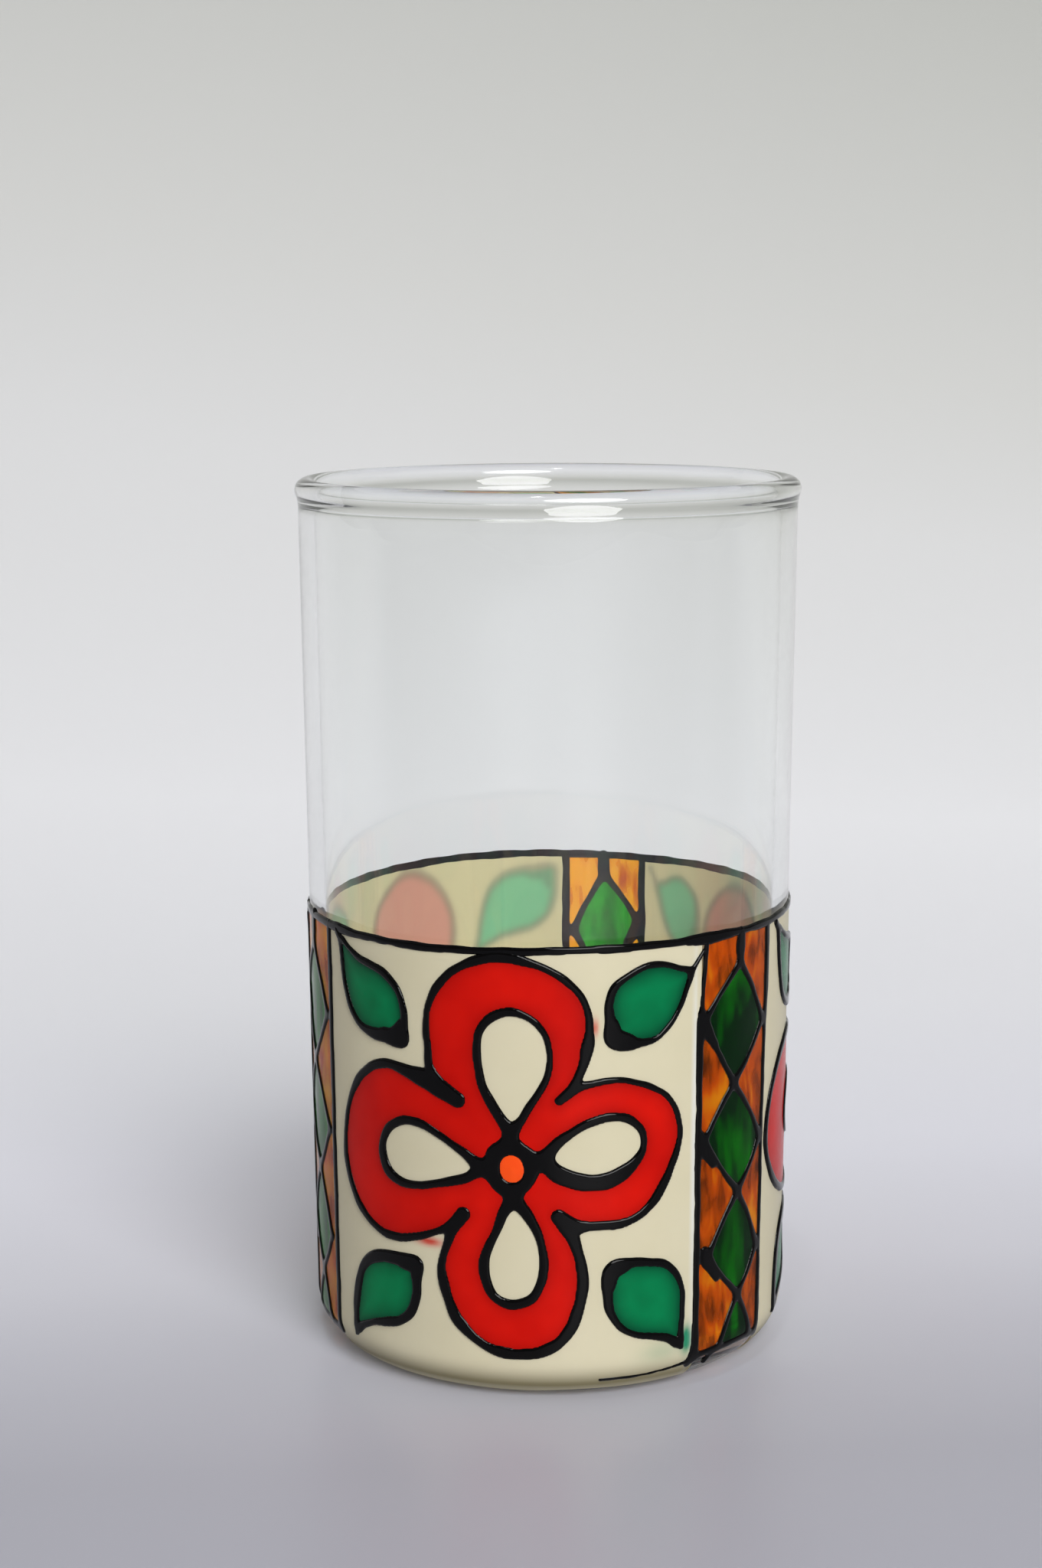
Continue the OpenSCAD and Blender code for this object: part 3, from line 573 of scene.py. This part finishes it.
# Leaves. Four leaves in the corners of each panel: a black outline with a heavy drop at the foot, where the stroke
# began, and a short tail at the tip, and emerald green flooded into it.
# Places on the front panel and half widths, each leaf from its tip round to it
leaves = {
    "upper left": [(-32.0, 59.8, 0.5), (-30.1, 59.0, 0.4), (-28.2, 58.1, 0.5), (-25.8, 57.5, 0.55),
                   (-23.3, 56.8, 0.58), (-21.0, 55.0, 0.52), (-20.0, 52.4, 0.57), (-19.9, 49.8, 0.6),
                   (-20.3, 48.0, 0.9), (-22.9, 48.3, 0.95), (-25.4, 48.3, 0.8), (-27.7, 48.9, 0.62),
                   (-29.6, 50.5, 0.55), (-30.7, 52.6, 0.5), (-31.4, 54.9, 0.46), (-31.8, 57.4, 0.45)],
    "upper right": [(19.2, 57.4, 0.5), (17.2, 58.2, 0.42), (15.0, 58.9, 0.42), (12.6, 58.9, 0.42), (10.4, 57.9, 0.45),
                    (8.5, 56.5, 0.55), (7.7, 54.3, 0.62), (7.9, 51.9, 0.75), (8.1, 49.6, 0.9), (9.6, 48.8, 0.9),
                    (11.8, 48.8, 0.7), (14.1, 49.2, 0.45), (16.0, 50.7, 0.42), (17.4, 52.6, 0.42),
                    (18.4, 54.8, 0.42)],
    "lower left": [(-30.3, 6.0, 0.6), (-30.4, 8.0, 0.65), (-30.2, 10.3, 0.75), (-29.7, 12.6, 0.78),
                   (-28.8, 14.9, 0.78), (-27.3, 16.6, 0.85), (-25.1, 17.6, 0.9), (-22.7, 17.9, 0.9),
                   (-20.3, 18.0, 0.9), (-18.4, 18.0, 0.8), (-18.6, 15.9, 0.8), (-18.7, 13.4, 0.7),
                   (-19.7, 11.0, 0.72), (-21.6, 9.4, 0.65), (-24.0, 8.6, 0.68), (-26.3, 8.0, 0.55),
                   (-28.6, 7.0, 0.55)],
    "lower right": [(18.1, 6.9, 0.6), (18.4, 9.4, 0.5), (18.5, 11.8, 0.45), (18.5, 14.2, 0.45), (17.6, 16.5, 0.5),
                    (15.8, 18.3, 0.52), (13.4, 18.9, 0.6), (11.0, 19.1, 0.7), (8.6, 18.8, 0.9), (7.7, 17.4, 0.85),
                    (7.7, 15.1, 0.7), (8.0, 12.7, 0.58), (9.4, 10.5, 0.5), (11.5, 9.2, 0.45), (13.9, 8.6, 0.54),
                    (16.2, 8.0, 0.6)],
}
tails = {
    "upper left": [(-32.0, 59.6, 0.5), (-33.2, 60.9, 0.5)],
    "upper right": [(19.2, 57.2, 0.45), (20.3, 58.6, 0.3), (21.4, 60.0, 0.26)],
    "lower left": [(-29.8, 6.5, 0.55), (-30.7, 5.1, 0.28)],
    "lower right": [(18.0, 7.3, 0.6), (18.5, 6.3, 0.3)],
}
feet = {
    "upper left": [(-23.2, 48.7, 0.8), (-21.2, 48.8, 1.15), (-20.5, 50.3, 0.7)],
    "upper right": [(8.2, 51.4, 0.8), (8.7, 49.8, 1.25), (10.4, 49.2, 0.9)],
    "lower left": [(-20.8, 17.6, 0.95), (-18.9, 17.5, 1.1), (-18.8, 16.3, 0.8)],
    "lower right": [(10.0, 18.7, 0.8), (8.3, 18.1, 1.15), (8.0, 16.4, 0.85)],
}
# How some leaves of the other panels differ: how far they are stretched across and up, or turned over, and moved aside
leaf_fit = {("left", "upper left"): (-1, -1, -1.2), ("right", "upper right"): (0.66, 1, 1.5),
            ("right", "lower right"): (0.7, 0.95, 1.7)}

# Emerald glass paint: deep green, lighter where it thins out in the middle of a leaf.
green_paint = flooded_paint("emerald glass paint, gloss", 5, "047846", "0AA864", "02402A")

greens = {}
for n, panel in enumerate(panels):
    fine, rough = panel_places(panel, cell), panel_places(panel, 2 * cell)
    lines, insides = [], []
    for i, (corner, points) in enumerate(leaves.items()):
        end = 1 if "right" in corner else 0
        across, up, aside = leaf_fit.get((panel, corner), (1, 1, 0))
        aside += panels[panel][end] - panels["front"][end]
        mid = np.array((*np.mean(points, axis=0)[:2], 0))
        rim, tail, foot = ((np.array(part) - mid) * (across, up, 1) + mid + (aside, 0, 0)
                           for part in (points, tails[corner], feet[corner]))
        rim = hand_line(rim, None, 80 + 10 * n + i, closed=True, shake=0.04)
        lines += [rim, hand_line(tail, None, 120 + 10 * n + i, shake=0.03),
                  hand_line(foot, None, 160 + 10 * n + i, shake=0.03)]
        insides.append(within(*rough, rim[:-1, :2], 3))
    leaf_lines = flowed(*fine, lines)
    draw(f"leaf_outlines_{panel}", fine, leaf_lines, f"leaf_lines_{panel}")
    greens[panel] = np.minimum.reduce(insides)
    pool = pooled(-greens[panel] - 0.5, 1.6)
    flood(f"green_leaves_{panel}", rough, greens[panel], pool, 0.85, green_paint, f"leaves_{panel}")
    line_fields[panel] = np.minimum(line_fields[panel], leaf_lines[::2, ::2])

# Cream grounds. One thin coat of cream glass paint under each flower and its leaves, flooded on the bare glass between
# two bands, that lets light through. It comes after them here because they show through it from inside the glass
# as pale tints: pink behind a flower, mint behind a leaf.
paint_top, ground_low = 61.3, 1.15

# Cream glass paint: satin, clouded over about 9 mm and rippled over about 4 mm. Marks on the film's points tint it; two
# of them are painted light: painted shade near the foot, and a painted strip of light along a band.
cream_paint, tree = new_material("cream glass paint, satin")
place = add(tree, "TexCoord", out="Object")
cloud = add(tree, "TexNoise", {"Vector": place, "Scale": 1 / (9 * mm), "Detail": 3.0}, out="Fac")
tone = add(tree, "Mix", {"Factor": cloud, 6: linear("E8E1C2"), 7: linear("F0EACF")}, data_type="RGBA", out=2)
for mark, code in (("inside", "F8EDC4"), ("red_behind", "FFB6A4"), ("green_behind", "8AE8B4"),
                   ("line_behind", "8E866C"), ("smear", "DE4A38"), ("bleed", "2F9A72"), ("painted_foot_shade", "857A4C"),
                   ("missed_strip_painted_light", "F8FBFA")):
    shown = add(tree, "Attribute", attribute_name=mark, out="Fac")
    tone = add(tree, "Mix", {"Factor": shown, 6: tone, 7: linear(code)}, data_type="RGBA", out=2)
ripple = add(tree, "TexNoise", {"Vector": place, "Scale": 1 / (4 * mm), "Detail": 1.0}, out="Fac")
bump = add(tree, "Bump", {"Height": ripple, "Strength": 0.2, "Distance": 0.05 * mm})
satin = add(tree, "BsdfPrincipled", {"Base Color": tone, "Roughness": 0.3, "Specular IOR Level": 0.3, "Normal": bump})
through = add(tree, "BsdfTranslucent", {"Color": tone})
coat = add(tree, "MixShader", {0: 0.3, 1: satin, 2: through})
add(tree, "OutputMaterial", {"Surface": coat}, out=None)


def shows_through(field, strength):
    """How strongly a colour or line on the cream shows from inside, with a soft edge."""
    return strength / (1 + np.exp(np.clip(field / 0.25, -30, 30)))


def slips(us, vs, marks, most=1):
    """Small slips of the hand: how strong each is, its place, and how wide and high it is."""
    return np.clip(sum(strong * np.exp(-(((us - u) / wide) ** 2) - ((vs - v) / high) ** 2)
                       for strong, u, v, wide, high in marks), 0, most)


# Slips on the front panel: red smeared from a petal, green run from a leaf, and a strip that was missed along the band,
# painted near white as painted light for the bright light that comes through the bare glass there
smears = [(1.1, -16.6, 21.3, 2.0, 0.6), (0.9, 5.9, 51.2, 0.4, 1.1)]
bleeds = [(1.6, 19.4, 7.2, 0.8, 1.7), (0.25, 15.4, 6.2, 3.0, 1.5)]
painted_light_misses = [(1.2, 20.1, 35, 0.3, 22)]

for n, (panel, (u0, u1)) in enumerate(panels.items()):
    rough = panel_places(panel, 2 * cell)
    ru, rv = np.meshgrid(*rough)
    lower = ground_low + 0.14 * np.sin(ru / 7 + n) + 0.08 * np.sin(ru / 2.7)
    lean_in = 1.1 * (paint_top - rv) / 57 * (panel == "right")
    ground = np.maximum.reduce([u0 - 0.4 - lean_in - ru, ru - u1 - 0.15, lower - rv, rv - paint_top])
    slipped = panel == "front"
    on_top = {"smear": slips(ru, rv, smears) * slipped, "bleed": slips(ru, rv, bleeds) * slipped,
              # Painted shade: the cream turns olive over its last few millimetres above the foot, where the rounded
              # corner faces the floor, a little less at the very bottom.
              "painted_foot_shade": np.interp(rv, (1.4, 2.4), (0.35, 0.9)) * np.clip((5.4 - rv) / 3.0, 0, 1) ** 1.5,
              # Painted light: the missed strip is painted near white, for the light that comes through the bare glass
              # there.
              "missed_strip_painted_light": slips(ru, rv, painted_light_misses, 0.85) * slipped}
    underneath = {"inside": np.ones(ground.shape), "red_behind": shows_through(reds[panel], 0.9),
                  "green_behind": shows_through(greens[panel], 0.85),
                  "line_behind": shows_through(line_fields[panel], 0.4)}
    film = film_mesh(*rough, ground, np.full(ground.shape, ground_h), 2 * gap, on_top, underneath)
    paint_on(f"cream_ground_{panel}", film, cream_paint, f"ground_{panel}")

# Bands. Three upright bands with no cream under them: black lines straight on the glass, with a row of green diamonds
# and amber between them in transparent glass paint, so that light comes through as through a window.
band_edges = {"right": (20.9, 35.4), "back": (88.4, 100.7), "left": (157.6, 171.2)}
band_coats_and_shade = {"right": 0.72, "back": 0.1, "left": 0.35}  # how thickly the panes were painted, with painted shade in it: the front band darker, and the back band, which has light behind it, lighter
band_foot, pane_h, pane_rise = 4.3, 0.09, 0.05
diamonds_up = {"right": 0, "back": 1.2, "left": 0}  # how much higher a band's diamonds stand
# The upright sides of the right band, and half widths
left_edge = [(22.0, 61.3, 0.4), (21.6, 57.0, 0.34), (21.2, 52.5, 0.42), (21.05, 49.0, 0.7), (20.95, 45.0, 0.58),
             (20.9, 30.0, 0.54), (20.9, 15.0, 0.54), (20.75, 4.3, 0.7)]
right_edge = [(35.1, 61.3, 0.7), (35.0, 54.0, 0.6), (34.7, 47.0, 0.5), (34.4, 36.0, 0.45), (34.35, 24.0, 0.45),
              (34.3, 12.0, 0.5), (34.2, 4.3, 0.6)]
# The corners of the diamonds of the right band, down its left side, its middle and its right side, and at its foot
left_side = [(21.8, 50.5), (21.9, 34.0), (22.9, 18.0)]
middle = [(28.3, 57.4), (27.4, 41.0), (28.6, 25.8), (29.0, 11.2)]
right_side = [(34.0, 48.5), (33.8, 32.3), (33.5, 17.1)]
last_foot = [(25.2, 4.5), (32.4, 4.5)]


def window_gloss(tree, tone, streak):
    """Finishes a transparent paint: a gloss with the brush's streaks in it, which tints the light that goes through."""
    bump = add(tree, "Bump", {"Height": streak, "Strength": 0.3, "Distance": 0.05 * mm})
    gloss = add(tree, "BsdfPrincipled", {
        "Base Color": tone, "Roughness": 0.1, "IOR": 1.15, "Transmission Weight": 0.7, "Normal": bump})
    stained = add(tree, "BsdfTransparent", {"Color": tone})
    going_on = add(tree, "LightPath", out="Is Shadow Ray")
    lit = add(tree, "MixShader", {0: going_on, 1: gloss, 2: stained})
    add(tree, "OutputMaterial", {"Surface": lit}, out=None)


# Transparent amber glass paint, brushed on thinly: honey where one coat lies, burnt orange where it lies double, brown
# where it has pooled. Streaks about 2 mm wide run up it, and the coat gets thicker and thinner over about 6 mm.
amber_paint, tree = new_material("amber glass paint, transparent")
place = add(tree, "Attribute", attribute_name="flat", out="Vector")
brushed = add(tree, "Mapping", {
    "Vector": place, "Rotation": (0, 0, 0.25), "Scale": (1 / (2.4 * mm), 1 / (9 * mm), 1)})
streak = add(tree, "TexNoise", {"Vector": brushed, "Scale": 1.0, "Detail": 2.0, "Distortion": 1.4}, out="Fac")
patch = add(tree, "TexNoise", {"Vector": place, "Scale": 1 / (6 * mm), "Detail": 1.0}, out="Fac")
# The coats read here carry painted shade as well as thickness: the band at the front is painted deeper, the backlit
# band at the back paler.
depth = add(tree, "Attribute", attribute_name="coats_and_shade", out="Fac")
for uneven in (streak, patch):
    more = add(tree, "MapRange", {"Value": uneven, "From Min": 0.3, "From Max": 0.7, "To Min": -0.3, "To Max": 0.3})
    depth = add(tree, "Math", {0: depth, 1: more}, operation="ADD")
double = add(tree, "MapRange", {"Value": depth, "From Min": 0.0, "From Max": 0.6})
brown = add(tree, "MapRange", {"Value": depth, "From Min": 0.6, "From Max": 1.15})
tone = add(tree, "Mix", {"Factor": double, 6: linear("FFBE1E"), 7: linear("D86410")}, data_type="RGBA", out=2)
tone = add(tree, "Mix", {"Factor": brown, 6: tone, 7: linear("6A3408")}, data_type="RGBA", out=2)
window_gloss(tree, tone, streak)

# Transparent green glass paint of the same kind: bottle green, with lighter streaks 3 mm wide that run up it.
pane_green, tree = new_material("green glass paint, transparent")
place = add(tree, "Attribute", attribute_name="flat", out="Vector")
brushed = add(tree, "Mapping", {
    "Vector": place, "Rotation": (0, 0, -0.2), "Scale": (1 / (3.0 * mm), 1 / (13 * mm), 1)})
streak = add(tree, "TexNoise", {"Vector": brushed, "Scale": 1.0, "Detail": 2.0, "Distortion": 0.3}, out="Fac")
# The coats read here carry painted shade as well as thickness, as for the amber.
coats_and_shade = add(tree, "Attribute", attribute_name="coats_and_shade", out="Fac")
more = add(tree, "MapRange", {"Value": streak, "From Min": 0.3, "From Max": 0.7, "To Min": -0.25, "To Max": 0.6})
depth = add(tree, "Math", {0: more, 1: coats_and_shade}, operation="ADD", use_clamp=True)
tone = add(tree, "Mix", {"Factor": depth, 6: linear("18B414"), 7: linear("043212")}, data_type="RGBA", out=2)
window_gloss(tree, tone, streak)


def fitted(points, band):
    """Places on the right band as they are on another one."""
    (u0, u1), (r0, r1) = band_edges[band], band_edges["right"]
    return [(u0 + (x - r0) * (u1 - u0) / (r1 - r0), y) for x, y in points]


for n, (band, (u0, u1)) in enumerate(band_edges.items()):
    run_on = 14.5 if band == "right" else 0  # the right band's bottom line runs on under the front panel
    fine = places(u0 - 2.5 - run_on, u1 + 2.5, 1.5, cell)
    rough = places(u0 - 2.5, u1 + 2.5, 1.5, 1.5 * cell)
    lefts, mids, rights = ([(x, y + diamonds_up[band]) for x, y in fitted(points, band)]
                           for points in (left_side, middle, right_side))
    foot_left, foot_right = fitted(last_foot, band)
    upright = [left_edge, right_edge] if band == "right" else [
        [(u, paint_top, 0.6), (u, 32.0, 0.55), (u, band_foot, 0.6)] for u in (u0, u1)]
    sides = [hand_line(edge, None, 200 + 10 * k + n) for k, edge in enumerate(upright)]
    bars = []
    for k, (corners, foot, bow) in enumerate(((lefts, foot_left, -0.35), (rights, foot_right, 0.35))):
        path = [spot for pair in zip(mids, [*corners, foot]) for spot in pair]
        seed = 220 + 40 * n + 10 * k
        bars.append([hand_line([p, 0.5 * np.add(p, q) + (bow, 0), q], [0.58, 0.46, 0.58], seed + i, shake=0.05)
                     for i, (p, q) in enumerate(zip(path, path[1:]))])
    top_u = mids[0][0]
    lines = sides + bars[0] + bars[1]
    lines += [hand_line([(top_u + 0.1, 61.2), (top_u, 59.0), mids[0]], [1.0, 0.85, 0.6], 350 + n, shake=0.03),
              hand_line([sides[0][-1, :2], foot_left, foot_right, sides[1][-1, :2]], [0.6, 0.5, 0.5, 0.6], 360 + n)]
    for i, (u, v) in enumerate(lefts):
        crossing = [(u - 0.6, v + 0.9), (u - 0.1, v - 0.8), (u + 1.7, v - 3.4)]
        lines.append(hand_line(crossing, [0.6, 0.95, 0.6], 370 + 5 * n + i, shake=0.03))
    if band == "right":
        lines += [hand_line([(u0, 3.9), (u0 - 6, 3.2), (u0 - 14, 3.0)], [0.3, 0.18, 0.24], 390, shake=0.05),
                  hand_line([(u0 - 0.2, 4.6), (u0 - 0.8, 3.3)], [0.7, 0.5], 391),
                  hand_line([(24.2, 4.2), (23.4, 2.9)], [0.5, 0.35], 392)]
    field = flowed(*fine, lines)
    paint_on(f"band_outlines_{band}", film_mesh(*fine, field, bead(field), gap),
             black_paste, f"band_lines_{band}")

    one, other = bars
    loops = [[one[i], one[i + 1], other[i + 1][::-1], other[i][::-1]] for i in (0, 2, 4)]
    loops.append([one[6], np.array([[*foot_left, 0], [*foot_right, 0]]), other[6][::-1]])
    diamonds = np.minimum.reduce([within(*rough, np.vstack(loop)[:, :2], 3) for loop in loops])
    amber = np.maximum(within(*rough, np.vstack([sides[0], sides[1][::-1]])[:, :2], 3), -diamonds)
    # Each band's panes get its thickness of paint, with its painted shade in it.
    coats_and_shade = {"coats_and_shade": np.full(amber.shape, band_coats_and_shade[band])}
    for name, pane, paint, node, slot in (("green_diamonds", diamonds, pane_green, "band_diamonds", "green_pane"),
                                          ("amber_panes", amber, amber_paint, "band_amber", "amber_pane")):
        level = pane_h + pane_rise * pooled(np.abs(pane) - 0.45, 0.7)
        film = film_mesh(*rough, pane, level, 2 * gap, coats_and_shade, coats_and_shade)
        paint_on(f"{name}_{band}", film, paint, f"{node}_{band}")

# Floor, backdrop and light. A sheet of backdrop paper with a slight sheen, which lies under the glass and sweeps up
# behind it. Its tones are painted shade: pale grey at the front, nearly white behind the glass and pale grey at the
# top, for light that falls off towards the front and the top. Soft daylight comes from a window.
paper_w, lies_from, lies_to, top_l = 3.6, -1.6, 0.2, 1.6
curve_l, curve_steps = 1.0, 48
tones_from, tones_l = -0.15, 1.1  # where the paper's tones start, and how far up the sheet they go
# The tones along the sheet, with painted shade in them: darker towards the front and the top.
paper_tones_with_shade = ((0.0, "B2B2BC"), (0.096, "BABAC4"), (0.133, "D0D0DA"), (0.161, "E1E1EA"), (0.216, "F1F1FA"),
               (0.31, "F7F7FC"), (0.48, "F6F6F9"), (0.61, "EEEEEF"), (0.69, "E9E9E9"), (0.78, "DEDEDB"),
               (1.0, "C0C1BB"))

paper, tree = new_material("backdrop paper, painted shade")
place = add(tree, "TexCoord", out="Object")
cloud = add(tree, "TexNoise", {"Vector": place, "Scale": 1 / (120 * mm), "Detail": 3.0}, out="Fac")
way = add(tree, "Attribute", attribute_name="way", out="Fac")
way = add(tree, "Math", {0: cloud, 1: 0.01, 2: way}, operation="MULTIPLY_ADD")
# The painted shade lies a little slanting across the sheet: darker to the right on the floor in front, and darker to
# the right high up.
shade_slant = add(tree, "MapRange", {"Value": way, "From Min": 0.2, "From Max": 0.7, "To Min": -0.095, "To Max": 0.25})
aside = add(tree, "SeparateXYZ", {0: place}, out="X")
way = add(tree, "Math", {0: aside, 1: shade_slant, 2: way}, operation="MULTIPLY_ADD")
tones_with_shade = add(tree, "ValToRGB", {"Fac": way}, out=None)
stops = tones_with_shade.color_ramp.elements
for spot, code in paper_tones_with_shade:
    stop = stops[0] if spot == 0 else stops[-1] if spot == 1 else stops.new(spot)
    stop.color = linear(code)
sheet = add(tree, "BsdfPrincipled", {"Base Color": tones_with_shade.outputs[0], "Roughness": 0.36, "Specular IOR Level": 0.3})
# Behind the glass the paper also glows for rays from the camera, reflections and refractions: painted light, which is
# seen but throws no light on the glass.
rays = add(tree, "LightPath", out=None).outputs
seen = add(tree, "Math", {0: rays["Is Camera Ray"], 1: rays["Is Glossy Ray"]}, operation="ADD")
seen = add(tree, "Math", {0: seen, 1: rays["Is Transmission Ray"]}, operation="ADD", use_clamp=True)
glow = add(tree, "MapRange", {"Value": way, "From Min": 0.12, "From Max": 0.48, "To Min": 0.0, "To Max": 0.22})
glow = add(tree, "Math", {0: glow, 1: seen}, operation="MULTIPLY")
painted_glow = add(tree, "Emission", {"Color": tones_with_shade.outputs[0], "Strength": glow})
both = add(tree, "AddShader", {0: sheet, 1: painted_glow})
add(tree, "OutputMaterial", {"Surface": both}, out=None)

part = (np.arange(curve_steps) + 0.5) / curve_steps
rise = math.pi / 2 * (3 * part**2 - 2 * part**3)
curve = np.column_stack([np.cumsum(np.cos(rise)), np.cumsum(np.sin(rise))]) * curve_l / curve_steps + (lies_to, 0)
sweep = np.vstack([(lies_from, 0), (tones_from, 0), (lies_to, 0), curve, (curve[-1, 0], top_l)])
backdrop = bpy.data.meshes.new("paper sweep")
backdrop.from_pydata([(x, y, z) for y, z in sweep for x in (-paper_w / 2, paper_w / 2)], [],
                     [(2 * i, 2 * i + 1, 2 * i + 3, 2 * i + 2) for i in range(len(sweep) - 1)])
way = np.concatenate([[0], np.cumsum(np.hypot(*np.diff(sweep, axis=0).T))]) - (tones_from - lies_from)
way = np.repeat(way / tones_l, 2).astype(np.float32)
backdrop.attributes.new("way", "FLOAT", "POINT").data.foreach_set("value", way)
backdrop.materials.append(paper)
backdrop.shade_smooth()
floor = bpy.data.objects.new("paper_sweep", backdrop)
scene.collection.objects.link(floor)

# The room round it: a little lighter above and behind, with upright things in it that the glass mirrors faintly.
world = bpy.data.worlds.new("soft room light")
scene.world = world
world.use_nodes = True
tree = world.node_tree
tree.nodes.clear()
toward = add(tree, "TexCoord", out="Generated")
side = add(tree, "VectorMath", {0: toward, 1: (0.15, 0.5, 0.85)}, operation="DOT_PRODUCT", out="Value")
level = add(tree, "MapRange", {"Value": side, "From Min": -0.6, "From Max": 0.9, "To Min": 0.125, "To Max": 0.33})
upright = add(tree, "Mapping", {"Vector": toward, "Scale": (2.6, 2.6, 0.5)})
things = add(tree, "TexNoise", {"Vector": upright, "Scale": 1.0, "Detail": 2.0}, out="Fac")
things = add(tree, "MapRange", {"Value": things, "From Min": 0.35, "From Max": 0.65, "To Min": 0.45, "To Max": 1.45})
level = add(tree, "Math", {0: level, 1: things}, operation="MULTIPLY")
sky = add(tree, "Background", {"Color": linear("FAFBFF"), "Strength": level})
add(tree, "OutputWorld", {"Surface": sky}, out=None)

# Each lamp's place, size and watts
lamps = {"window": ((0.36, -1.12, 0.74), 0.84, 17.4), "roof light": ((-0.05, -0.38, 0.9), 0.07, 0.5)}
lit_spot = Vector((0, 0, 0.06))
for name, (place, size, power) in lamps.items():
    lamp = bpy.data.lights.new(name, "AREA")
    lamp.shape, lamp.size, lamp.energy = "DISK", size, power
    holder = bpy.data.objects.new(name, lamp)
    holder.location = place
    holder.rotation_euler = (lit_spot - Vector(place)).to_track_quat("-Z", "Y").to_euler()
    scene.collection.objects.link(holder)
